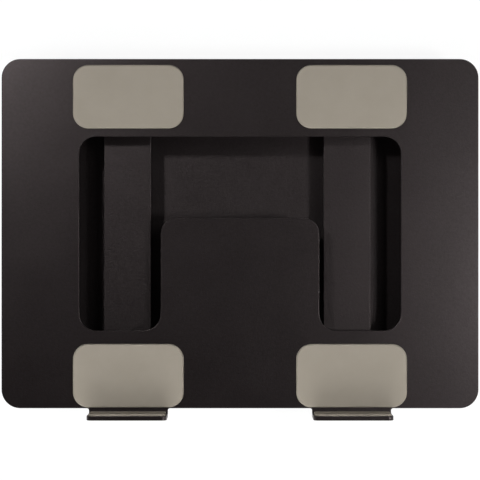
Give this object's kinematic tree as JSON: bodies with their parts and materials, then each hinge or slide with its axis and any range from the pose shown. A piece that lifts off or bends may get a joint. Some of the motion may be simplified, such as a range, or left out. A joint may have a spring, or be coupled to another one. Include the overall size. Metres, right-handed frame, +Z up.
{
  "type": "laptop stand",
  "caption": "Folding laptop stand: a top plate with a U-shaped cut-out, front hooks and silicone pads turns on friction hinges at two flat arms over a base plate; stored folded flat.",
  "frame": {"origin": "on the desk under the middle of the folded stand's outline, hooks included", "axes": "+X to the right of someone who faces the hooks, +Y from the hooks to the rear, +Z up"},
  "size_m": [0.28, 0.2102, 0.045],
  "materials": {
    "black_coat": "sand-blasted aluminium with a matt black coat",
    "silicone": "matt warm grey silicone",
    "steel": "zinc-plated steel",
    "spring_steel": "oiled spring steel",
    "black_screw": "black oxide steel",
    "bronze": "sintered bronze",
    "black_plastic": "fine matt texture"
  },
  "bodies": {
    "base": {"base_plate": "black_coat", "foot_rear_left": "silicone", "foot_rear_right": "silicone", "foot_front_left": "silicone", "foot_front_right": "silicone", "lug_outer_lower_left": "black_coat", "lug_outer_lower_right": "black_coat", "lug_inner_lower_left": "black_coat", "lug_inner_lower_right": "black_coat", "bolt_lower_left": "steel", "bolt_lower_right": "steel", "nut_lower_left": "steel", "nut_lower_right": "steel", "friction_washers_lower_left": "steel", "friction_washers_lower_right": "steel", "disc_springs_lower_left": "spring_steel", "disc_springs_lower_right": "spring_steel", "cap_outer_lower_left": "black_plastic", "cap_outer_lower_right": "black_plastic", "cap_inner_lower_left": "black_plastic", "cap_inner_lower_right": "black_plastic", "lug_screws_lower_left": "black_screw", "lug_screws_lower_right": "black_screw"},
    "arms": {"arm_left": "black_coat", "arm_right": "black_coat", "bush_lower_left": "bronze", "bush_lower_right": "bronze", "bush_upper_left": "bronze", "bush_upper_right": "bronze"},
    "plate": {"top_plate": "black_coat", "pad_rear_left": "silicone", "pad_rear_right": "silicone", "pad_front_left": "silicone", "pad_front_right": "silicone", "hook_liner_left": "silicone", "hook_liner_right": "silicone", "lug_outer_upper_left": "black_coat", "lug_outer_upper_right": "black_coat", "lug_inner_upper_left": "black_coat", "lug_inner_upper_right": "black_coat", "bolt_upper_left": "steel", "bolt_upper_right": "steel", "nut_upper_left": "steel", "nut_upper_right": "steel", "friction_washers_upper_left": "steel", "friction_washers_upper_right": "steel", "disc_springs_upper_left": "spring_steel", "disc_springs_upper_right": "spring_steel", "cap_outer_upper_left": "black_plastic", "cap_outer_upper_right": "black_plastic", "cap_inner_upper_left": "black_plastic", "cap_inner_upper_right": "black_plastic", "lug_screws_upper_left": "black_screw", "lug_screws_upper_right": "black_screw"}
  },
  "joints": [
    {"name": "arm_fold", "type": "hinge", "parent": "base", "child": "arms", "pos_m": [0, -0.09035, 0.0155], "axis": [1, 0, 0], "range_deg": [0, 90]},
    {"name": "plate_tilt", "type": "hinge", "parent": "arms", "child": "plate", "pos_m": [0, 0.09565, 0.0155], "axis": [-1, 0, 0], "range_deg": [0, 110]}
  ]
}
